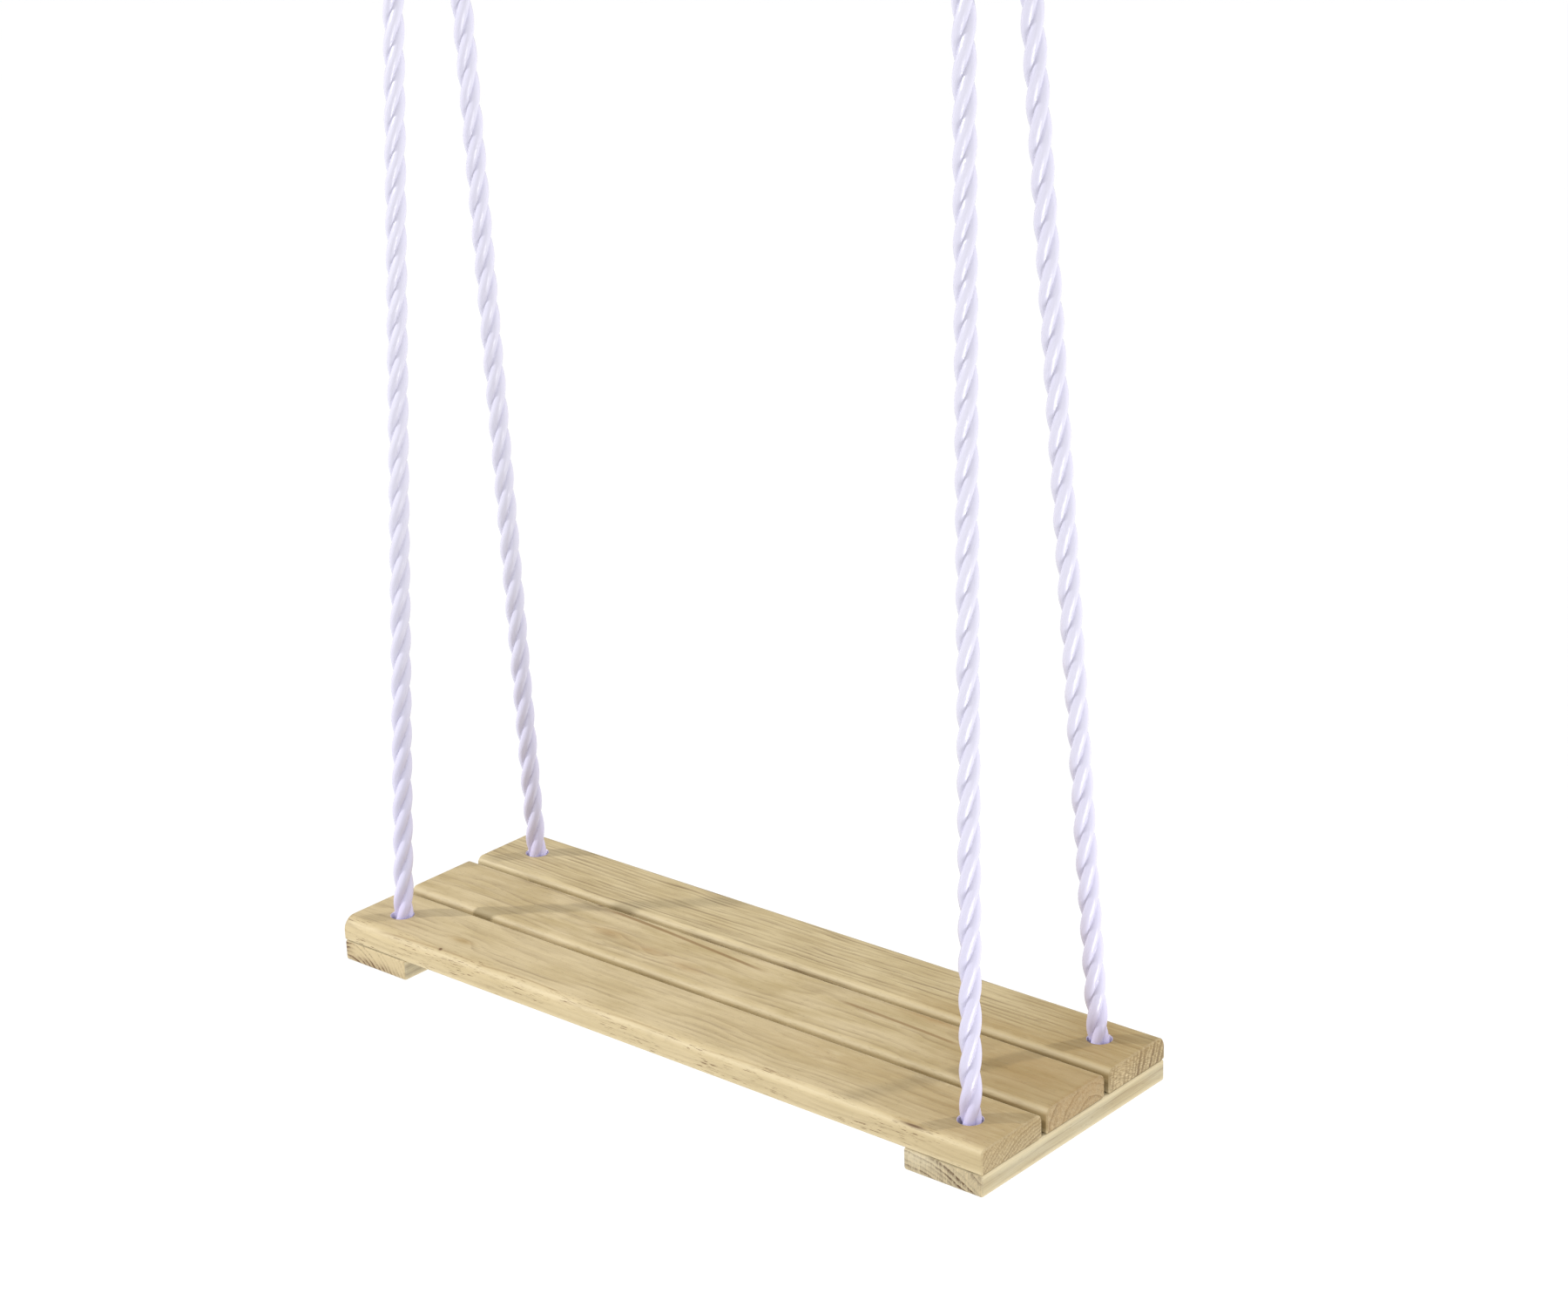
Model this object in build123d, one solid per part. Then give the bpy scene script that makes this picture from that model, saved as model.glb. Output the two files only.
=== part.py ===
from build123d import *
import math
import os

# A hanging swing seat: three wooden slats on two cross battens, carried by one rope each side.
# Each rope runs down through the front slat, under the batten and up through the rear slat,
# and both of its ends are eyes on the straight bar of a steel D-ring. The D-rings hang in
# eye bolts that go up through a beam.
# Millimetres. +X along the seat from left to right, +Y to the rear, +Z up.
# The origin is on the beam's underside, midway between the two bolts.

# Seat
seat_length = 501.0
slat_width = 54.0
slat_thickness = 15.0
slat_gap = 4.5
slat_top_radius = 4.5
front_edge_radii = (8.5, 3.5)   # of the seat's upper front edge, which is rounded more at its left end
rear_edge_radius = 6.5          # of the seat's upper rear edge
slat_bottom_radius = 1.5
slat_end_radius = 0.8
batten_width = 54.0
batten_thickness = 13.5
batten_edge_radius = 1.8

# Rope and its holes
rope_diameter = 12.0
hole_diameter = 14.6
hole_half_spacing = 60.0        # from the seat's middle to a hole, front to back
hole_rim_chamfer = 0.3
hole_lower_rim_radius = 4.0
rope_clearance = 0.3
rope_lean = 0.8                 # how far the rope leans on the hole's inner side, at the top
rope_bend_radius = 9.8          # of the rope's middle, at the two corners where it turns under the batten
bend_cut = 6.4                  # of the leg and of the run under the batten, between those corners
ferrule_wall = 2.0
ferrule_length = 30.0
ferrule_edge_radius = 0.8
ferrule_drop = 34.0             # from the bar's axis to the ferrule's upper end
tail_length = 8.0               # of rope that shows below the ferrule
eye_half_spacing = 9.0          # from the bar's middle to an eye, left to right
eye_corner_count = 4
flare_drop = 30.0                # from the bar's axis to where the rope's two parts spread
flare_radius = 50.0

# Screws, driven from below
screw_length = 25.0
screw_radius = 2.0
screw_head_radius = 4.0
screw_head_height = 2.4
screw_tip_length = 4.0
screw_offset_x = 16.0
screw_offset_y = 12.0
screw_recess_depth = 1.5
recess_length = 4.4
recess_width = 0.9
screw_hole_clearance = 0.05

# Hanging hardware
beam_hook_spacing = 400.0
wire_radius = 4.0               # of the D-rings and of the eyes
ring_bow_radius = 22.0          # to the middle of the wire
ring_height = 36.0              # from the top of the bow to the bar, middle to middle
ring_corner_radius = 7.0
eye_radius = 13.0               # to the middle of the wire
collar_radius = 11.0
collar_thickness = 4.0
collar_edge_radius = 1.0
eye_drop = 19.0                 # from the beam to the eye's centre
stud_radius = 5.0
stud_length = 60.0
stud_chamfer = 1.2
bar_to_seat = 800.0             # from the bar's axis down to the battens' underside

# Worked out from those
rope_radius = rope_diameter / 2
seat_depth = 3 * slat_width + 2 * slat_gap
slat_pitch = slat_width + slat_gap
hook_x = beam_hook_spacing / 2
pivot_z = -eye_drop - (eye_radius - 2 * wire_radius - rope_clearance)
bar_z = pivot_z - ring_height
batten_bottom = bar_z - bar_to_seat
slat_bottom = batten_bottom + batten_thickness
slat_top = slat_bottom + slat_thickness
batten_x = (seat_length - batten_width) / 2

SIDES = {"left": -1, "right": 1}
SLATS = {"front_slat": -1, "middle_slat": 0, "rear_slat": 1}


def screw_places(side):
    """Where one batten's screws stand: two for each slat, set on a diagonal."""
    places = []
    for row in (-1, 0, 1):
        for end in (-1, 1):
            x = side * (batten_x + end * screw_offset_x)
            places.append(Pos(x, row * slat_pitch + end * screw_offset_y, batten_bottom))
    return places


def at_rope_holes(z, cutter):
    """A cutter at each of the four rope holes through the seat, standing on z."""
    places = [Pos(side * batten_x, row * hole_half_spacing, z) for side in (-1, 1) for row in (-1, 1)]
    return Part() + [place * cutter for place in places]


def rope_holes(z, height):
    """The four rope holes through the seat, as cylinders that stand on z."""
    cylinder = Cylinder(hole_diameter / 2, height, align=(Align.CENTER, Align.CENTER, Align.MIN))
    return at_rope_holes(z, cylinder)


def rim_edges(part, z):
    """The round edges of the rope holes at one height."""
    rims = part.edges().filter_by(GeomType.CIRCLE).filter_by_position(Axis.Z, z - 0.01, z + 0.01)
    return rims.filter_by(lambda edge: abs(edge.radius - hole_diameter / 2) < 0.01)


def slat_section(x, front_radius, rear_radius):
    """A slat's section at one x, with its four corners rounded."""
    half = slat_width / 2
    section = Rectangle(slat_width, slat_thickness, align=(Align.CENTER, Align.MIN))
    corners = [
        ((-half, slat_thickness), front_radius),
        ((half, slat_thickness), rear_radius),
        ((-half, 0), slat_bottom_radius),
        ((half, 0), slat_bottom_radius),
    ]
    for corner, radius in corners:
        section = fillet(section.vertices().sort_by_distance((*corner, 0))[0], radius)
    return Plane(origin=(x, 0, 0), x_dir=(0, 1, 0), z_dir=(1, 0, 0)) * section


def slat(row):
    """One slat, with its upper long edges well rounded; the front and rear ones have rope holes."""
    sections = []
    for end in (0, 1):
        front_radius = front_edge_radii[end] if row == -1 else slat_top_radius
        rear_radius = rear_edge_radius if row == 1 else slat_top_radius
        sections.append(slat_section(seat_length * (end - 0.5), front_radius, rear_radius))
    body = loft(sections, ruled=True)
    ends = body.faces().filter_by(Axis.X).edges()
    body = chamfer(ends, slat_end_radius)
    body = Pos(0, row * slat_pitch, slat_bottom) * body
    if row:
        body -= rope_holes(slat_bottom - 1, slat_thickness + 2)
        cone = Cone(
            hole_diameter / 2,
            hole_diameter / 2 + hole_rim_chamfer + 1,
            hole_rim_chamfer + 1,
            align=(Align.CENTER, Align.CENTER, Align.MIN),
        )
        body -= at_rope_holes(slat_top - hole_rim_chamfer, cone)
    return body - screw_cutters()


def batten(side):
    """One cross batten, flush with the slats' ends, with the rope holes' lower rims rounded."""
    body = Box(batten_width, seat_depth, batten_thickness, align=(Align.CENTER, Align.CENTER, Align.MIN))
    body = fillet(body.edges(), batten_edge_radius)
    body = Pos(side * batten_x, 0, batten_bottom) * body
    body -= rope_holes(batten_bottom - 1, batten_thickness + 2)
    body = fillet(rim_edges(body, batten_bottom), hole_lower_rim_radius)
    return body - screw_cutters()


def screw_shape(grow=0.0):
    """A countersunk wood screw that stands on its head's face, or with grow, the hole it sits in."""
    outline = Polyline(
        (0, 0),
        (screw_head_radius + grow, 0),
        (screw_radius + grow, screw_head_height),
        (screw_radius + grow, screw_length - screw_tip_length),
        (0, screw_length + grow),
        close=True,
    )
    return revolve(Plane.XZ * make_face(outline), Axis.Z)


def screw():
    """The screw with a cross recess in its head."""
    arm = Box(recess_length, recess_width, screw_recess_depth, align=(Align.CENTER, Align.CENTER, Align.MIN))
    return screw_shape() - arm - Rot(0, 0, 90) * arm


def screw_cutters():
    """The holes of all the screws."""
    hole = screw_shape(screw_hole_clearance)
    return Part() + [place * hole for side in (-1, 1) for place in screw_places(side)]


def screws(side):
    """One batten's screws, as separate solids."""
    one = screw()
    return Compound(children=[place * one for place in screw_places(side)])


def eye_frame(side, row):
    """Where a rope's eye lies on the bar: its centre, the direction away from its leg's middle plane
    (out), and the direction up along the leg."""
    centre = Vector(side * hook_x + row * eye_half_spacing, 0, bar_z)
    hole = Vector(side * (batten_x - rope_lean / 2), row * (hole_half_spacing - rope_lean), slat_top)
    strand = rope_radius + rope_clearance / 2
    up = (centre + Vector(0, row * strand, 0) - hole).normalized()
    out = Vector(0, row, 0)
    out = (out - up * out.dot(up)).normalized()
    return centre, out, up


def eye_route(side, row):
    """The points of one rope end, from its cut end, round the bar, down the leg and in under the batten."""
    centre, out, up = eye_frame(side, row)
    strand = rope_radius + rope_clearance / 2
    loop = wire_radius + rope_radius + rope_clearance
    reach = math.hypot(strand, flare_drop)
    flare = math.degrees(math.asin(loop / reach) - math.atan2(strand, flare_drop))
    turn = (180 + 2 * flare) / eye_corner_count
    corner_reach = loop / math.cos(math.radians(turn / 2))
    points = [(-strand, -(ferrule_drop + ferrule_length + tail_length)), (-strand, -flare_drop)]
    for k in range(eye_corner_count):
        angle = math.radians(180 + flare - turn * (k + 0.5))
        points.append((corner_reach * math.cos(angle), corner_reach * math.sin(angle)))
    points.append((strand, -flare_drop))
    radii = [flare_radius] + [loop * 0.99] * eye_corner_count + [flare_radius]
    route = [centre + out * a + up * b for a, b in points]
    under_z = batten_bottom - rope_radius - rope_clearance
    foot = route[-1] - up * ((route[-1].Z - under_z) / up.Z)
    route += [foot + up * bend_cut, foot - Vector(0, row * bend_cut, 0)]
    return route, radii + [rope_bend_radius] * 2


def rope(side):
    """One side's rope: an eye, the front leg, the run under the batten, the rear leg and an eye."""
    front, front_radii = eye_route(side, -1)
    rear, rear_radii = eye_route(side, 1)
    points = front + rear[::-1]
    radii = front_radii + rear_radii[::-1]
    line = FilletPolyline(*points, radius=radii)
    start = Plane(origin=line @ 0, z_dir=line % 0)
    tube = sweep(start * Circle(rope_radius), path=line)
    print(f"rope {side:+d}: {line.length:.0f} mm long, radii {sorted(set(round(r, 1) for r in radii))},",
          f"volume / (section x length) = {tube.volume / (math.pi * rope_radius**2 * line.length):.4f}")
    return tube


def ferrule(side, row):
    """The oval sleeve pressed over the rope and its tail below an eye."""
    centre, out, up = eye_frame(side, row)
    middles = rope_diameter + rope_clearance
    plane = Plane(origin=centre - up * (ferrule_drop + ferrule_length), x_dir=out, z_dir=up)
    inside = SlotCenterToCenter(middles, middles)
    outside = SlotCenterToCenter(middles, middles + 2 * ferrule_wall)
    sleeve = extrude(outside, ferrule_length)
    faces = sleeve.faces().sort_by(Axis.Z)
    sleeve = fillet(faces[0].edges() + faces[-1].edges(), ferrule_edge_radius)
    return plane.location * (sleeve - extrude(inside, ferrule_length))


def d_ring(side):
    """A welded D-ring: a straight bar below, and a bow that hangs in the eye."""
    half = ring_bow_radius
    bow_z = pivot_z - ring_bow_radius
    corner = ring_corner_radius
    path = Wire(
        [
            Edge.make_line((-half + corner, 0, bar_z), (half - corner, 0, bar_z)),
            Edge.make_three_point_arc(
                (half - corner, 0, bar_z),
                (half - corner * (1 - math.sqrt(0.5)), 0, bar_z + corner * (1 - math.sqrt(0.5))),
                (half, 0, bar_z + corner),
            ),
            Edge.make_line((half, 0, bar_z + corner), (half, 0, bow_z)),
            Edge.make_three_point_arc((half, 0, bow_z), (0, 0, pivot_z), (-half, 0, bow_z)),
            Edge.make_line((-half, 0, bow_z), (-half, 0, bar_z + corner)),
            Edge.make_three_point_arc(
                (-half, 0, bar_z + corner),
                (-half + corner * (1 - math.sqrt(0.5)), 0, bar_z + corner * (1 - math.sqrt(0.5))),
                (-half + corner, 0, bar_z),
            ),
        ]
    )
    start = Plane(origin=(-half + corner, 0, bar_z), z_dir=(1, 0, 0))
    return Pos(side * hook_x, 0, 0) * sweep(start * Circle(wire_radius), path=path)


def eye_bolt(side):
    """A forged eye bolt: the eye below the beam, its collar against the beam, the stud through it."""
    eye = Pos(0, 0, -eye_drop) * Rot(0, 90, 0) * Torus(eye_radius, wire_radius)
    collar = Cylinder(collar_radius, collar_thickness, align=(Align.CENTER, Align.CENTER, Align.MAX))
    collar = fillet(collar.edges().sort_by(Axis.Z)[0], collar_edge_radius)
    stud = Cylinder(stud_radius, stud_length, align=(Align.CENTER, Align.CENTER, Align.MIN))
    stud = chamfer(stud.edges().sort_by(Axis.Z)[-1], stud_chamfer)
    return Pos(side * hook_x, 0, 0) * (eye + collar + stud)


def model():
    """Every piece, by the name of its node."""
    parts = {name: slat(row) for name, row in SLATS.items()}
    for name, side in SIDES.items():
        parts[f"{name}_batten"] = batten(side)
        parts[f"{name}_screws"] = screws(side)
        parts[f"{name}_rope"] = rope(side)
        parts[f"{name}_front_ferrule"] = ferrule(side, -1)
        parts[f"{name}_rear_ferrule"] = ferrule(side, 1)
        parts[f"{name}_d_ring"] = d_ring(side)
        parts[f"{name}_eye_bolt"] = eye_bolt(side)
    return parts


os.makedirs("parts", exist_ok=True)
for node, shape in model().items():
    export_step(shape, f"parts/{node}.step")
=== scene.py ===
import math

import bmesh
import bpy
from mathutils import Matrix, Vector


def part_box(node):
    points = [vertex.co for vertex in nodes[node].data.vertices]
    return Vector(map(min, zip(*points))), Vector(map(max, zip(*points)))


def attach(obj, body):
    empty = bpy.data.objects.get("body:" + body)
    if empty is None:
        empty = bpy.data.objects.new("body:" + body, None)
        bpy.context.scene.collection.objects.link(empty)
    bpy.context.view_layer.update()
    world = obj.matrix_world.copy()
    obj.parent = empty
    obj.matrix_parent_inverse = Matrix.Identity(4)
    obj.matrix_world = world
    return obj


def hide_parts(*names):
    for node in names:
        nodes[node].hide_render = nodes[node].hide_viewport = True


# A hanging swing seat: wooden slats on battens, laid ropes, D-rings and eye bolts.
# Lengths are in metres, and in millimetres within the materials of wood and metal.

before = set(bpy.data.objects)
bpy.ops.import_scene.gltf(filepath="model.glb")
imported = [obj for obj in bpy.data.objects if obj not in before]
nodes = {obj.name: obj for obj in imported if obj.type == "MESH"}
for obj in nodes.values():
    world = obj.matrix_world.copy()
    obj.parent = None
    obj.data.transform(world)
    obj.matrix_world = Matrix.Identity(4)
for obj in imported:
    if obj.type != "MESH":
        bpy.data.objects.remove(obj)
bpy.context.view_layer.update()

SIDES = {"left": -1, "right": 1}

# ---------------------------------------------------------------- places and sizes

slat_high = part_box("front_slat")[1]
batten_low, batten_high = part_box("right_batten")
ring_low, ring_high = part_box("right_d_ring")
seat_top = slat_high.z
seat_bottom = batten_low.z
seat_half_length = slat_high.x
batten_x = (batten_low.x + batten_high.x) / 2
hook_x = (ring_low.x + ring_high.x) / 2

# sizes that the solids have and the frame doesn't tell
WIRE_RADIUS = 0.004                 # of the D-rings
HOLE_RADIUS = 0.0073                # of the rope holes
HOLE_HALF_SPACING = 0.060           # from the seat's middle to a hole, front to back
THREAD_LENGTH = 0.046               # of the eye bolts' studs
ROPE_DIAMETER = 0.012
ROPE_RADIUS = ROPE_DIAMETER / 2
ROPE_CLEARANCE = 0.0003             # between a rope and what it goes round
ROPE_LEAN = 0.0008                  # how far a rope leans on the inner side of its hole
EYE_HALF_SPACING = 0.009            # from the bar's middle to an eye, left to right
EYE_CORNERS = 4                     # of the route round the bar
FLARE_DROP = 0.030                  # from the bar's axis down to where the rope's two parts spread
TAIL_DROP = 0.072                   # from the bar's axis down to the rope's cut end
BEND_CUT = 0.0064                   # of the corner where a rope turns under the batten
BEND_RUN = 0.008                    # from that corner to the next point of the route

bar_z = ring_low.z + WIRE_RADIUS


def mm(value):
    return value * 1000.0


def srgb(code):
    """A colour from its hex code, as the linear values that shaders take."""
    parts = [int(code[i:i + 2], 16) / 255 for i in (0, 2, 4)]
    return tuple(c / 12.92 if c <= 0.04045 else ((c + 0.055) / 1.055) ** 2.4 for c in parts)


# ---------------------------------------------------------------- node helpers

class Signal:
    """A node's output. Arithmetic with it adds the nodes that work the result out."""

    def __init__(self, shader, socket):
        self.shader, self.socket = shader, socket

    def __add__(self, other):
        return self.shader.math("ADD", self, other)

    def __radd__(self, other):
        return self.shader.math("ADD", other, self)

    def __sub__(self, other):
        return self.shader.math("SUBTRACT", self, other)

    def __rsub__(self, other):
        return self.shader.math("SUBTRACT", other, self)

    def __mul__(self, other):
        return self.shader.math("MULTIPLY", self, other)

    def __truediv__(self, other):
        return self.shader.math("DIVIDE", self, other)

    def __abs__(self):
        return self.shader.math("ABSOLUTE", self)

    def at_least(self, bound):
        return self.shader.math("MAXIMUM", self, bound)

    def at_most(self, bound):
        return self.shader.math("MINIMUM", self, bound)


class Shader:
    """A material's node tree, with short ways to add and join its nodes."""

    def __init__(self, name):
        self.material = bpy.data.materials.new(name)
        self.material.use_nodes = True
        self.tree = self.material.node_tree
        self.tree.nodes.clear()
        self.surface = self.tree.nodes.new("ShaderNodeBsdfPrincipled")
        output = self.tree.nodes.new("ShaderNodeOutputMaterial")
        self.tree.links.new(self.surface.outputs[0], output.inputs[0])

    def feed(self, socket, value):
        """Gives a socket a signal, a number, a vector or a colour, which may be a hex code."""
        if isinstance(value, str):
            value = srgb(value)
        if isinstance(value, Signal):
            self.tree.links.new(value.socket, socket)
        elif socket.type == "RGBA":
            socket.default_value = (*value, 1.0)
        else:
            socket.default_value = value

    def node(self, kind, *inputs, output=0, named=(), **settings):
        """Adds a node, feeds its first inputs and its named ones, and gives one of its outputs."""
        node = self.tree.nodes.new(kind)
        for key, value in settings.items():
            setattr(node, key, value)
        for socket, value in zip(node.inputs, inputs):
            self.feed(socket, value)
        for key, value in dict(named).items():
            self.feed(node.inputs[key], value)
        return Signal(self, node.outputs[output])

    def math(self, operation, *inputs):
        return self.node("ShaderNodeMath", *inputs, operation=operation)

    def vector(self, operation, *inputs):
        output = "Value" if operation == "LENGTH" else 0
        return self.node("ShaderNodeVectorMath", *inputs, output=output, operation=operation)

    def distance(self, across, up):
        """How far from 0 a point at (across, up) is."""
        return self.math("SQRT", across * across + up * up)

    def step(self, value, low, high):
        """0 below low, 1 above high, and smooth between."""
        return self.node("ShaderNodeMapRange", value, low, high, interpolation_type="SMOOTHSTEP")

    def noise(self, place, detail=2.0, roughness=0.5, scale=1.0):
        named = {"Vector": place, "Scale": scale, "Detail": detail, "Roughness": roughness}
        return self.node("ShaderNodeTexNoise", output="Fac", named=named)

    def mix(self, amount, colour, other):
        """The colour, with the other over it by amount."""
        node = self.tree.nodes.new("ShaderNodeMix")
        node.data_type = "RGBA"
        self.feed(node.inputs["Factor"], amount)
        self.feed(node.inputs[6], colour)
        self.feed(node.inputs[7], other)
        return Signal(self, node.outputs[2])

    def ramp(self, factor, *stops):
        node = self.tree.nodes.new("ShaderNodeValToRGB")
        elements = node.color_ramp.elements
        while len(elements) < len(stops):
            elements.new(0.5)
        for element, (place, colour) in zip(elements, stops):
            element.position = place
            element.color = (*(srgb(colour) if isinstance(colour, str) else [colour] * 3), 1.0)
        self.feed(node.inputs[0], factor)
        return Signal(self, node.outputs[0])

    def split(self, vector):
        node = self.tree.nodes.new("ShaderNodeSeparateXYZ")
        self.feed(node.inputs[0], vector)
        return [Signal(self, output) for output in node.outputs]

    def join(self, x, y, z):
        return self.node("ShaderNodeCombineXYZ", x, y, z)

    def coordinates(self, kind="Object"):
        return self.node("ShaderNodeTexCoord", output=kind)

    def attribute(self, name):
        return self.node("ShaderNodeAttribute", output="Fac", attribute_name=name)

    def bump(self, height, distance, strength=0.6, normal=None):
        named = {"Height": height, "Distance": distance, "Strength": strength}
        if normal is not None:
            named["Normal"] = normal
        return self.node("ShaderNodeBump", named=named)

    def finish(self, colour, roughness, normal=None, **settings):
        self.feed(self.surface.inputs["Base Color"], colour)
        self.feed(self.surface.inputs["Roughness"], roughness)
        if normal is not None:
            self.feed(self.surface.inputs["Normal"], normal)
        for key, value in settings.items():
            self.surface.inputs[key.replace("_", " ")].default_value = value
        return self.material


def soft_spots(s, place, spots):
    """Soft round spots, each (centre, half sizes, amount), added together."""
    total = 0.0
    for centre, halves, amount in spots:
        away = s.vector("LENGTH", s.vector("DIVIDE", s.vector("SUBTRACT", place, centre), halves))
        total = s.math("EXPONENT", away * away * -1.0) * amount + total
    return total


def dress(node, look):
    """Gives a CAD node its material."""
    node.data.materials.clear()
    node.data.materials.append(look)


# ---------------------------------------------------------------- wood

PALE, DEEP, DARK = "B6A581", "9A875D", "553C20"     # early wood, its deeper patches, and late wood
BLEACHED_STREAK = "D8C8A0"
# colour of the painted shade that darkens the slats towards their right ends
RIGHT_END_SHADE_COLOUR = "7E6632"
VEIN = "775B33"
END_TINT, END_PALE = "83714F", "C2B08A"
# the edges' colour, partly polish and partly painted highlight, and the colour of the painted light on the
# front
POLISH_AND_HIGHLIGHT, FRONT_PAINTED_LIGHT = "CEBF9B", "D6C59C"
SPECK, PIT, WORN = "55381C", "5E3F1E", "8A6F3C"
# colour of the rope's painted reflection in the rope holes
HOLE_PAINTED_REFLECTION = "F0EAFA"


def wood(name, box, along, pith, ring, seed, pale=PALE, deep=DEEP, line=0.5, drift=(14.0, 8.0), mottle=0.5,
         streaks=0.55, knots=(), veins=(), specks=(), pits=None, right_end_painted_shade=0.0, front_painted_light=0.0,
         stains=(), stain_colour=WORN, ring_stains=False, end_tint=END_TINT, end_line=0.7, rays=1.0, saw=0.0):
    """Softwood sawn from a trunk, in millimetres of the board's own (lengthways, across, up) place.

    Growth rings, ring apart, lie round the pith, which runs along the board at pith = (across, up)
    and wanders by drift. The other numbers say how much each kind of mark shows: line is for the
    rings, mottle and streaks are for the long sides, sun is painted shade that darkens the long sides
    towards the right end, front_painted_light is painted light that makes the front of the board paler, and
    end_line, rays and saw are for the sawn ends.
    """
    s = Shader(name)
    low, high = box
    x, y, z = s.split(s.coordinates())
    if along == "x":
        lengthways, across, low_a, high_a = x, y, mm(low.y), mm(high.y)
    else:
        lengthways, across, low_a, high_a = y, x, mm(low.x), mm(high.x)
    low_z, high_z = mm(low.z), mm(high.z)
    middle_a, half_width = (low_a + high_a) / 2, (high_a - low_a) / 2
    middle_z, half_height = (low_z + high_z) / 2, (high_z - low_z) / 2
    place = s.vector("MULTIPLY", s.join(lengthways, across, z), (1000.0, 1000.0, 1000.0))
    l, a, up = s.split(place)

    def grain_noise(length_scale, width_scale, detail=2.0, roughness=0.5, shift=0.0):
        """Noise that is long lengthways; shift tells one such pattern from another."""
        stretched = s.vector("DIVIDE", place, (length_scale, width_scale, width_scale))
        moved = s.vector("ADD", stretched, (seed * 7.3 + shift, seed * 3.1, seed * 5.7))
        return s.noise(moved, detail, roughness)

    # the growth rings, which wander along the trunk, and their dark late wood
    sway_a = s.noise(s.join(l / 170.0, seed, 0.0), 1.0) - 0.5
    sway_z = s.noise(s.join(l / 130.0, seed + 9.0, 0.0), 1.0) - 0.5
    from_pith_a = (a - pith[0]) + sway_a * drift[0]
    from_pith_z = (up - pith[1]) + sway_z * drift[1]
    wobble = (grain_noise(55.0, 14.0) - 0.5) * (ring * 1.5)
    ripple = (grain_noise(32.0, 3.5, shift=4.0) - 0.5) * (ring * 0.35)
    radius = s.distance(from_pith_a, from_pith_z) + (wobble + ripple)
    if knots:
        radius = radius + soft_spots(s, place, knots)
    rings = radius / ring + s.noise(s.join(radius / 9.0, seed, 3.0)) * 1.5
    late = s.split(s.ramp(s.math("FRACT", rings), (0.0, 0.05), (0.35, 0.12), (0.72, 0.7),
                          (0.85, 1.0), (0.94, 0.85), (1.0, 0.05)))[0]
    year_strength = s.noise(s.join(s.math("FLOOR", rings), seed, l / 90.0), 1.0, scale=1.7)
    broken = s.step(grain_noise(70.0, 1.6, 3.0, 0.6, 2.0), 0.3, 0.6)
    lines = late * (0.35 + broken * 0.65) * s.step(year_strength, 0.25, 0.7)

    fibre = grain_noise(30.0, 0.6, 3.0, 0.7, 11.0)
    streak = grain_noise(140.0, 1.7, 4.0, 0.65, 17.0)
    blotch = grain_noise(60.0, 17.0, 3.0, 0.6, 23.0)
    pores = s.step(grain_noise(5.0, 0.5, 2.0, 0.55, 31.0), 0.64, 0.74)

    normal_x, normal_y, _ = s.split(s.coordinates("Normal"))
    end = s.step(abs(normal_x if along == "x" else normal_y), 0.6, 0.85)
    side = 1.0 - end

    # the long sides
    colour = s.mix(s.step(blotch, 0.3, 0.72) * mottle, pale, deep)
    tone = lines * line + (streak - 0.48) * streaks + (fibre - 0.5) * streaks
    tone = (tone + pores * 0.3) * side
    colour = s.mix(tone.at_least(0.0), colour, DARK)
    colour = s.mix(tone.at_most(0.0) * -1.4, colour, BLEACHED_STREAK)
    # painted shade: the long sides darker towards the right end, from 90 to 235 mm along
    if right_end_painted_shade:
        colour = s.mix(s.step(l, 90.0, 235.0) * right_end_painted_shade, colour, RIGHT_END_SHADE_COLOUR)
    for (start_l, start_a), (end_l, end_a), width, amount in veins:
        t = (l - start_l) / (end_l - start_l)
        bow = t * (1.0 - t) * 6.0
        vein_a = s.math("MULTIPLY_ADD", t, end_a - start_a, start_a) + bow + sway_a * 6.0
        within = s.step(t, 0.0, 0.15) * (1.0 - s.step(t, 0.85, 1.0))
        vein = (1.0 - s.step(abs(a - vein_a), width * 0.4, width)) * within
        colour = s.mix(vein * amount, colour, VEIN)

    # the sawn ends: darker, with the rings plain to see
    grit = s.noise(s.vector("MULTIPLY", place, (0.2, 1.6, 1.6)), 3.0, 0.7)
    pith_reach = math.hypot(pith[0] - middle_a, pith[1] - low_z)
    round_the_pith = s.math("ARCTAN2", from_pith_z, from_pith_a) * pith_reach
    rung = s.noise(s.join(radius * 0.3, round_the_pith * 1.5, seed))
    end_tone = lines * end_line - 0.2 + (grit - 0.5) * 0.9 + (rung - 0.5) * rays
    if saw:
        teeth = s.noise(s.vector("MULTIPLY", place, (0.1, 1.5, 0.12)), 2.0, 0.6)
        end_tone = end_tone + (teeth - 0.5) * saw
    end_colour = s.mix(end_tone.at_least(0.0), end_tint, DARK)
    end_colour = s.mix(end_tone.at_most(0.0) * -1.8, end_colour, END_PALE)
    colour = s.mix(end, colour, end_colour)
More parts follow.
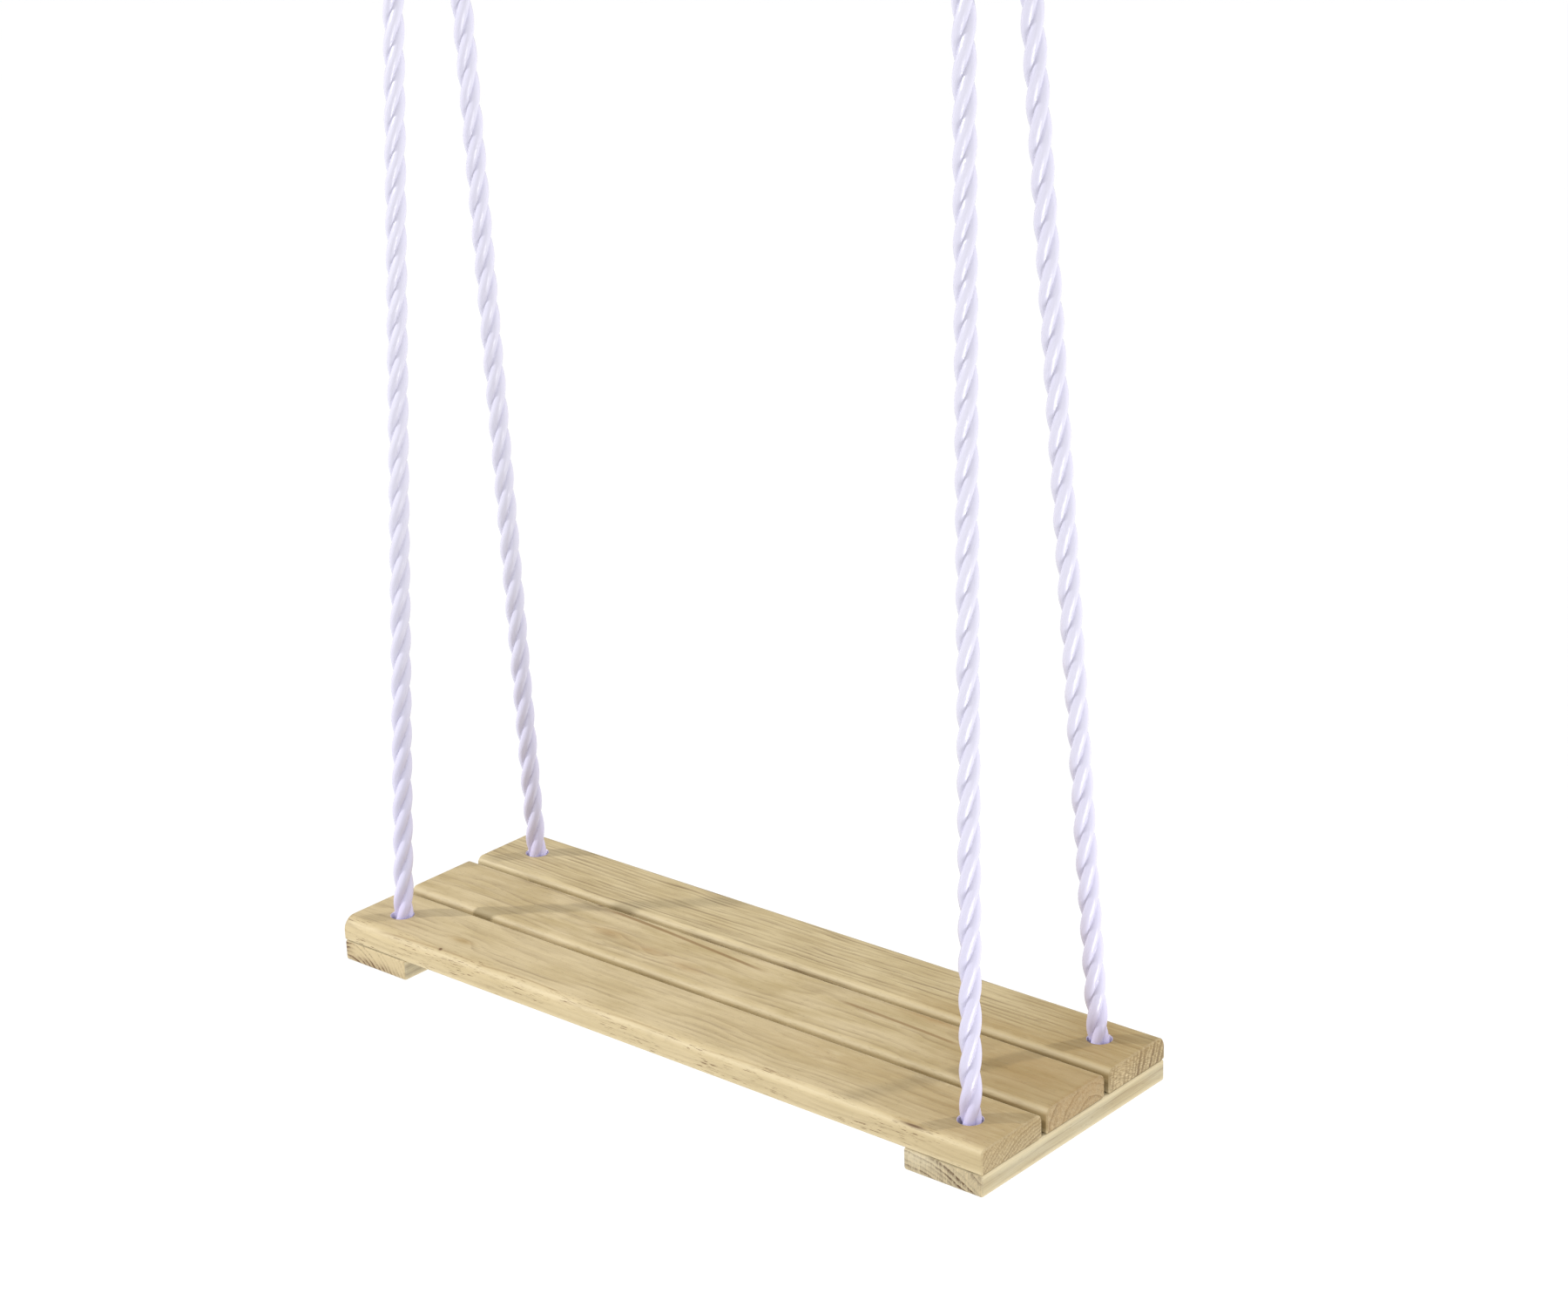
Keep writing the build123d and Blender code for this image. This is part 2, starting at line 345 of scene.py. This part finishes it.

    # marks on top: stains, lighter edges that are partly polished by hands and partly painted highlight,
    # painted light on the front, specks and pits
    if stains:
        stain = soft_spots(s, place, stains) * s.step(grain_noise(14.0, 4.0, 3.0, 0.65, 41.0), 0.1, 0.6)
        if ring_stains:
            stain = stain * (late + 0.3)
        colour = s.mix(stain, colour, stain_colour)
    from_side = half_width - abs(a - middle_a)
    from_face = half_height - abs(up - middle_z)
    # the rounded edges lighter: partly polish, partly painted highlight
    polish_and_highlight_edge = 1.0 - s.step(from_side.at_least(from_face), 0.8, 4.2)
    colour = s.mix(polish_and_highlight_edge * side * 0.5, colour, POLISH_AND_HIGHLIGHT)
    # painted light: the front of the board, its face and the first 10 mm of it, made paler
    if front_painted_light:
        front_light_mask = 1.0 - s.step(a - low_a, 0.0, 10.0)
        colour = s.mix(front_light_mask * side * front_painted_light, colour, FRONT_PAINTED_LIGHT)
    if specks:
        colour = s.mix(soft_spots(s, place, specks).at_most(0.9), colour, SPECK)
    if pits:
        (pit_a, pit_z), pit_reach, threshold = pits
        near = 1.0 - s.step(s.distance(a - pit_a, up - pit_z), pit_reach * 0.5, pit_reach)
        dash = s.step(grain_noise(9.0, 0.55, 2.0, 0.6, 53.0), threshold, threshold + 0.06)
        dash = dash * s.step(grain_noise(40.0, 9.0, 1.0, 0.5, 61.0), 0.42, 0.6)
        colour = s.mix(dash * near * side * 0.9, colour, PIT)

    # painted reflection: the rope's lilac light painted on the walls of the rope holes
    off = s.distance(abs(x) - batten_x, abs(y) - HOLE_HALF_SPACING)
    hole_reflection_mask = 1.0 - s.step(off, HOLE_RADIUS + 0.00005, HOLE_RADIUS + 0.00035)
    colour = s.mix(hole_reflection_mask * 0.95, colour, HOLE_PAINTED_REFLECTION)

    height = lines * 0.6 + fibre * 0.8 - pores * 0.8 + grit * end * 1.5
    return s.finish(colour, 0.42 + fibre * 0.22, s.bump(height, 0.00022), Specular_IOR_Level=0.35)


def dress_wood():
    """Each board's own look. Its places are (lengthways, across, up) in millimetres; a spot is
    (centre, half sizes, amount), and a vein is (start, end, width, amount)."""
    top, bottom = mm(seat_top), mm(seat_bottom)
    end_x, inner_x = mm(seat_half_length), mm(batten_x)
    front_y, middle_y, rear_y = (
        mm((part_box(name)[0].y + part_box(name)[1].y) / 2)
        for name in ("front_slat", "middle_slat", "rear_slat"))
    front_face = mm(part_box("front_slat")[0].y)
    looks = {
        "front_slat": dict(
            along="x", pith=(front_y + 26, top - 62), ring=2.6, seed=1.0, drift=(16.0, 12.0),
            line=0.34, streaks=0.42, end_line=0.45, rays=0.6, right_end_painted_shade=0.12, front_painted_light=0.27,
            pits=((front_face + 1.5, top - 7.0), 12.0, 0.60),
            veins=[((-228, front_face + 1.5), (-132, front_face + 4.5), 0.8, 0.5),
                   ((-140, front_face + 3), (-62, front_face + 5), 0.8, 0.45),
                   ((-70, front_face + 1), (25, front_face + 3), 0.8, 0.45),
                   ((40, front_face + 1), (130, front_face + 2), 0.7, 0.4)],
            specks=[((-168, front_face + 5, top), (1.2, 1.0, 2), 1.3),
                    ((203, front_face + 2, top - 1), (8, 0.8, 2), 1.1)],
            knots=[((-109, front_face, top - 2), (9, 4, 4), 3.2),
                   ((-41, front_face, top - 3), (11, 4, 4), 3.0),
                   ((16, front_face, top - 4), (10, 4, 4), 2.8),
                   ((101, front_face, top - 2), (7, 3, 3), 3.0),
                   ((-165, front_y - 6, top), (14, 5, 5), 4.0)],
            stains=[((-165, front_y - 6, top), (9, 3, 4), 0.7),
                    ((203, front_face + 3, top - 1), (16, 2, 3), 0.8),
                    ((232, front_y + 5, top), (50, 40, 8), 0.45),
                    ((120, front_y + 12, top), (70, 16, 6), 0.35)]),
        "middle_slat": dict(
            along="x", pith=(middle_y + 14, top - 27), ring=3.6, seed=4.0, drift=(20.0, 12.0),
            line=0.42, mottle=0.8, streaks=0.32, end_line=0.35, rays=0.4, right_end_painted_shade=0.45, end_tint="7B6848",
            veins=[((-135, 22), (20, 12), 1.9, 0.75), ((70, 10), (170, 5), 1.7, 0.65)],
            specks=[((-132, 25, top - 1), (2.4, 1.8, 4), 1.6), ((196, -25, top - 1), (6, 0.8, 3), 1.1)],
            knots=[((-100, -3, top), (13, 6, 6), 4.5), ((-58, -9, top), (12, 5, 6), -4.0)],
            stain_colour="8D6E3E",
            stains=[((-100, -2, top), (14, 4, 6), 0.6), ((-62, -6, top), (16, 4, 6), 0.5),
                    ((-28, -11, top), (12, 5, 6), 0.45), ((215, 8, top), (40, 30, 8), 0.4),
                    ((135, 24, top), (24, 5, 6), 0.75), ((end_x, middle_y, top - 7), (3, 60, 30), 0.36)]),
        "rear_slat": dict(
            along="x", pith=(rear_y + 82, top - 30), ring=3.6, seed=7.0, drift=(9.0, 5.0),
            line=0.62, mottle=0.6, streaks=0.7, end_line=1.3, rays=1.4, right_end_painted_shade=0.3, pale="B5A580", deep="9A875E",
            stains=[((228, rear_y, top), (45, 40, 8), 0.5), ((150, rear_y - 20, top), (60, 8, 6), 0.5)]),
    }
    front = mm(batten_low.y)
    batten = dict(along="y", ring=3.1, line=0.35, drift=(6.0, 4.0), rays=0.7, pale="A59B80")
    looks["left_batten"] = dict(
        batten, pith=(4 - end_x, bottom - 16), seed=10.0, end_line=0.7, saw=0.3, end_tint="BCAA84",
        stain_colour="5A3D20", ring_stains=True,      # burnt by the saw
        stains=[((front, 1 - end_x, bottom + 10), (3, 5, 5), 1.0),
                ((front, -inner_x - 6, bottom + 2.0), (3, 26, 3.4), 1.05)])
    looks["right_batten"] = dict(
        batten, pith=(inner_x - 24, bottom - 62), seed=12.0, end_line=1.6, saw=1.5, end_tint="A6987A",
        stain_colour="D2C6A8", stains=[((front, inner_x - 20, bottom + 11), (4, 16, 6), 0.55)])
    for name, look in looks.items():
        dress(nodes[name], wood(f"{name.replace('_', ' ')} pine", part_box(name), **look))


# ---------------------------------------------------------------- metal

# the last colour is painted shade for the hollows of threads and pressed bands
SPANGLE, GRIME, GROOVE_SHADE = "DADCDF", "4E4A44", "55534F"


def metal(name, tint, roughness, seed, depth, shape=None):
    """Plated or drawn metal: cloudy, finely scratched, with a little dull grime in patches.
    shape gives the height, in metres, of marks that are too fine to model, such as a thread, and where
    painted shade darkens their hollows."""
    s = Shader(name)
    place = s.vector("MULTIPLY", s.coordinates(), (1000.0, 1000.0, 1000.0))
    place = s.vector("ADD", place, (seed * 11.0, seed * 5.0, seed * 3.0))
    cloud = s.noise(s.vector("MULTIPLY", place, (0.11, 0.11, 0.11)), 4.0, 0.6)
    spangle = s.noise(s.vector("MULTIPLY", place, (0.9, 0.9, 0.9)))
    scratch = s.noise(s.vector("MULTIPLY", place, (3.0, 3.0, 0.25)), 2.0, 0.6)
    grime = s.step(s.noise(s.vector("MULTIPLY", place, (0.25, 0.25, 0.25)), 4.0, 0.65), 0.56, 0.72)
    colour = s.mix(s.step(cloud, 0.3, 0.7), tint, tuple(0.72 * part for part in srgb(tint)))
    colour = s.mix(spangle * 0.25, colour, SPANGLE)
    colour = s.mix(grime * 0.45, colour, GRIME)
    normal = s.bump(spangle * 0.6 + scratch * 0.4, depth)
    if shape:
        height, groove_shade = shape(s)
        normal = s.bump(height, 1.0, 1.0, normal)
        # painted shade in the hollows of the fine marks
        colour = s.mix(groove_shade * 0.5, colour, GROOVE_SHADE)
    rough = (roughness - 0.08) + scratch * 0.16 + grime * 0.2
    return s.finish(colour, rough, normal, Metallic=1.0)


def stud_thread(s):
    """A thread that winds up the stud, from a little above the collar."""
    pitch, depth, run_out = 0.0015, 0.0006, 0.001
    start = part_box("left_eye_bolt")[1].z - THREAD_LENGTH
    x, y, z = s.split(s.coordinates())
    from_axis = x - s.math("SIGN", x) * hook_x
    turn = s.math("ARCTAN2", y, from_axis) / (2 * math.pi)
    wave = s.math("PINGPONG", z / pitch - turn, 0.5)
    threaded = s.step(z, start, start + run_out)
    # the thread's height, and painted shade in its roots
    return wave * (2 * depth) * threaded, (1.0 - wave * 2.0) * threaded


def press_marks(s):
    """Three shallow bands that the press leaves round a ferrule."""
    spacing, depth = 0.008, 0.0004
    low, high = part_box("left_front_ferrule")
    off = s.split(s.coordinates())[2] - (low.z + high.z) / 2
    wave = s.math("MULTIPLY_ADD", s.math("COSINE", off * (2 * math.pi / spacing)), 0.5, 0.5)
    within = 1.0 - s.step(abs(off), spacing * 1.35, spacing * 1.5)
    band = s.step(wave, 0.35, 0.75) * within
    # the bands' depth, and painted shade in them
    return band * -depth, band * 0.3


def dress_metal():
    looks = {
        "ferrule": metal("pressed aluminium", "B4B6BA", 0.34, 1.0, 0.00025, press_marks),
        "d_ring": metal("zinc plated wire", "A9ACB0", 0.24, 2.0, 0.00008),
        "eye_bolt": metal("zinc plated forging", "A2A5A9", 0.30, 3.0, 0.00012, stud_thread),
        "screws": metal("screw steel", "8F9093", 0.30, 4.0, 0.00005),
    }
    for name, node in nodes.items():
        for kind, look in looks.items():
            if name.endswith(kind):
                dress(node, look)


# ---------------------------------------------------------------- ropes

ROPE_LAY = 0.061                    # of rope that a strand takes for one turn
STRAND_RADIUS = 0.00345
STRAND_OFFSET = 0.00285             # from the rope's middle to a strand's
MESH_STEP = 0.0013                  # along the rope, from one ring of the mesh to the next
MESH_AROUND = 48
ROPE_SHADE, ROPE_LILAC, ROPE_CAST = "A6A4C0", "CFC4EC", "BFB8DC"


def eye_route(side, row):
    """The points of one rope end, from its cut end, round the D-ring's bar and down to below the batten.
    They are the ones that the rope's solid follows."""
    strand = ROPE_RADIUS + ROPE_CLEARANCE / 2
    centre = Vector((side * hook_x + row * EYE_HALF_SPACING, 0, bar_z))
    hole = Vector((side * (batten_x - ROPE_LEAN / 2), row * (HOLE_HALF_SPACING - ROPE_LEAN), seat_top))
    up = (centre + Vector((0, row * strand, 0)) - hole).normalized()
    out = Vector((0, row, 0))
    out = (out - up * out.dot(up)).normalized()
    loop = WIRE_RADIUS + ROPE_RADIUS + ROPE_CLEARANCE
    flare = math.asin(loop / math.hypot(strand, FLARE_DROP)) - math.atan2(strand, FLARE_DROP)
    turn = (math.pi + 2 * flare) / EYE_CORNERS
    reach = loop / math.cos(turn / 2)
    corners = [math.pi + flare - turn * (k + 0.5) for k in range(EYE_CORNERS)]
    points = [(-strand, -TAIL_DROP), (-strand, -FLARE_DROP)]
    points += [(reach * math.cos(angle), reach * math.sin(angle)) for angle in corners]
    points += [(strand, -FLARE_DROP), (strand, -FLARE_DROP - 6 * ROPE_DIAMETER)]
    route = [centre + out * a + up * b for a, b in points]
    under = seat_bottom - ROPE_RADIUS - ROPE_CLEARANCE
    foot = route[-1] - up * ((route[-1].z - under) / up.z)
    inward = Vector((0, -row, 0))
    return route + [foot + up * 6 * ROPE_DIAMETER, foot + up * BEND_CUT,
                    foot + inward * BEND_CUT, foot + inward * (BEND_CUT + BEND_RUN)]


def spline_line(points):
    """Points read from the smooth curve that the route's points control."""
    curve = bpy.data.curves.new("route", "CURVE")
    curve.dimensions = "3D"
    spline = curve.splines.new("NURBS")
    spline.points.add(len(points) - 1)
    for point, place in zip(spline.points, points):
        point.co = (*place, 1.0)
    spline.order_u = 3
    spline.use_endpoint_u = True
    spline.resolution_u = 24
    holder = bpy.data.objects.new("route", curve)
    mesh = bpy.data.meshes.new_from_object(holder)
    line = [v.co.copy() for v in mesh.vertices]
    bpy.data.objects.remove(holder)
    bpy.data.curves.remove(curve)
    bpy.data.meshes.remove(mesh)
    return line


def even(line, step):
    """The line again, as points about step apart, each with its distance from the start."""
    lengths = [0.0]
    for a, b in zip(line, line[1:]):
        lengths.append(lengths[-1] + (b - a).length)
    count = max(2, round(lengths[-1] / step))
    made, k = [], 0
    for i in range(count + 1):
        at = lengths[-1] * i / count
        while k < len(line) - 2 and lengths[k + 1] < at:
            k += 1
        t = (at - lengths[k]) / max(lengths[k + 1] - lengths[k], 1e-9)
        made.append((line[k].lerp(line[k + 1], min(1.0, t)), at))
    return made


def rope_mesh(name, made):
    """Three strands laid round each other, as one closed skin that follows the points of made.
    Each of its points knows how far it is across its strand, from -1 to 1, and along the rope."""
    mesh = bmesh.new()
    phase_layer = mesh.verts.layers.float.new("strand_phase")
    along_layer = mesh.verts.layers.float.new("rope_along")
    side_way = None
    rings = []
    for i, (place, at) in enumerate(made):
        tangent = (made[min(i + 1, len(made) - 1)][0] - made[max(i - 1, 0)][0]).normalized()
        if side_way is None:
            side_way = tangent.orthogonal().normalized()
        side_way = (side_way - tangent * side_way.dot(tangent)).normalized()
        other = tangent.cross(side_way)
        turn = 2 * math.pi * at / ROPE_LAY
        ring = []
        for k in range(MESH_AROUND):
            angle = 2 * math.pi * k / MESH_AROUND
            within = (angle + math.pi / 3) % (2 * math.pi / 3) - math.pi / 3
            chord = math.sqrt(STRAND_RADIUS**2 - (STRAND_OFFSET * math.sin(within)) ** 2)
            radius = STRAND_OFFSET * math.cos(within) + chord
            spin = angle + turn
            vert = mesh.verts.new(place + (side_way * math.cos(spin) + other * math.sin(spin)) * radius)
            vert[phase_layer] = within / (math.pi / 3)
            vert[along_layer] = at
            ring.append(vert)
        rings.append(ring)
    for a, b in zip(rings, rings[1:]):
        for k in range(MESH_AROUND):
            n = (k + 1) % MESH_AROUND
            mesh.faces.new((a[k], a[n], b[n], b[k]))
    mesh.faces.new(rings[0][::-1])
    mesh.faces.new(rings[-1])
    data = bpy.data.meshes.new(name)
    mesh.to_mesh(data)
    mesh.free()
    for face in data.polygons:
        face.use_smooth = len(face.vertices) == 4
    piece = bpy.data.objects.new(name, data)
    bpy.context.scene.collection.objects.link(piece)
    return piece


def rope_material():
    """Shiny white rope with a lilac cast: each strand is a smooth bundle of fine fibres laid along it."""
    s = Shader("laid rope")
    phase = s.attribute("strand_phase")
    along = s.attribute("rope_along")
    yarn = s.noise(s.join(phase * 7.0, along * 45.0, 0.0), 3.0, 0.6)
    fibres = s.noise(s.join(phase * 26.0, along * 90.0, 3.0), 2.0, 0.6)
    soil = s.noise(s.join(0.0, along * 16.0, 7.0))
    # painted shade: each strand darker towards the grooves between strands
    colour = s.ramp(abs(phase), (0.0, "CAC8D4"), (0.7, "C8C6D4"), (0.92, "C3C1D2"), (1.0, "BCBACE"))
    colour = s.mix((yarn * 0.3 + soil * 0.2) * 0.65, colour, ROPE_SHADE)
    # lilac light that gathers at the seat, and a fainter cast above it
    rise = s.split(s.coordinates())[2] - seat_top
    glow = 1.0 - s.step(abs(rise), 0.0, 0.030)
    cast = 1.0 - s.step(rise, 0.0, 0.25)
    colour = s.mix(glow * 0.45, colour, ROPE_LILAC)
    colour = s.mix(cast * 0.3, colour, ROPE_CAST)
    normal = s.bump(yarn + fibres * 0.5, 0.0002)
    return s.finish(colour, 0.17 + fibres * 0.12, normal, Specular_IOR_Level=0.75)


def lay_ropes():
    look = rope_material()
    for name, side in SIDES.items():
        made = even(spline_line(eye_route(side, -1) + eye_route(side, 1)[::-1]), MESH_STEP)
        piece = rope_mesh(f"{name}_laid_rope", made)
        piece.data.materials.append(look)
        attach(piece, "seat")
        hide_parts(f"{name}_rope")


# ---------------------------------------------------------------- stage: floor, light and camera

FLOOR_HALF, FLOOR_DROP = 40.0, 3.0     # half its side, and how far it is below the seat


def lay_floor():
    """A pale floor, well below the seat, that reaches past the camera's view. It glows faintly, so that
    it stays white far from the lights."""
    corners = [(x * FLOOR_HALF, y * FLOOR_HALF, 0) for x, y in ((-1, -1), (1, -1), (1, 1), (-1, 1))]
    data = bpy.data.meshes.new("floor")
    data.from_pydata(corners, [], [(0, 1, 2, 3)])
    floor = bpy.data.objects.new("floor", data)
    floor.location = (0, 0, seat_bottom - FLOOR_DROP)
    bpy.context.scene.collection.objects.link(floor)
    s = Shader("pale floor")
    data.materials.append(s.finish((0.98, 0.98, 0.98), 0.95, Emission_Strength=0.035))


def area_light(name, way, distance, width, height, power):
    """A soft light that hangs off in one direction from the seat and faces it."""
    data = bpy.data.lights.new(name, "AREA")
    data.shape = "ELLIPSE"
    data.size, data.size_y = width, height
    data.energy = power
    light = bpy.data.objects.new(name, data)
    way = Vector(way).normalized()
    light.location = Vector((0, 0, seat_top)) + way * distance
    light.rotation_euler = way.to_track_quat("Z", "Y").to_euler()
    bpy.context.scene.collection.objects.link(light)


def white_surround(strength, lean, brighter_way):
    """A soft white world, brighter on the side that the camera stands on."""
    world = bpy.data.worlds.new("studio")
    world.use_nodes = True
    tree = world.node_tree
    direction = tree.nodes.new("ShaderNodeTexCoord").outputs["Generated"]
    along = tree.nodes.new("ShaderNodeVectorMath")
    along.operation = "DOT_PRODUCT"
    along.inputs[1].default_value = brighter_way
    total = tree.nodes.new("ShaderNodeMath")
    total.operation = "MULTIPLY_ADD"
    total.inputs[1].default_value = lean
    total.inputs[2].default_value = strength
    tree.links.new(direction, along.inputs[0])
    tree.links.new(along.outputs["Value"], total.inputs[0])
    tree.links.new(total.outputs[0], tree.nodes["Background"].inputs["Strength"])
    tree.nodes["Background"].inputs["Color"].default_value = (1, 1, 1, 1)
    bpy.context.scene.world = world


CAMERA_FROM_SEAT = Vector((1.2055, -1.3180, 0.8819))     # from the middle of the battens' underside
CAMERA_AZIMUTH, CAMERA_DOWN, CAMERA_ROLL = 41.27, 20.05, -2.08     # degrees
CAMERA_LENS, CAMERA_SENSOR = 75.9, 36.0     # millimetres


def place_camera():
    lens = bpy.data.cameras.new("camera")
    lens.lens, lens.sensor_width = CAMERA_LENS, CAMERA_SENSOR
    camera = bpy.data.objects.new("camera", lens)
    camera.matrix_world = (
        Matrix.Translation(CAMERA_FROM_SEAT + Vector((0, 0, seat_bottom)))
        @ Matrix.Rotation(math.radians(CAMERA_AZIMUTH), 4, "Z")
        @ Matrix.Rotation(math.radians(90 - CAMERA_DOWN), 4, "X")
        @ Matrix.Rotation(math.radians(CAMERA_ROLL), 4, "Z")
    )
    bpy.context.scene.collection.objects.link(camera)
    bpy.context.scene.camera = camera


# ---------------------------------------------------------------- the scene

place_camera()
lay_ropes()
dress_wood()
dress_metal()
lay_floor()
area_light("key", (-0.787, -0.617, 0.62), distance=3.0, width=0.1, height=0.1, power=50)
area_light("rear light", (0.51, 0.86, 0.72), distance=3.0, width=0.2, height=0.2, power=40)
area_light("low fill", (0.84, -0.04, -0.50), distance=2.6, width=0.65, height=1.5, power=33)
white_surround(strength=0.86, lean=0.5, brighter_way=(0.46, -0.78, 0.42))
bpy.context.scene.view_settings.view_transform = "Standard"
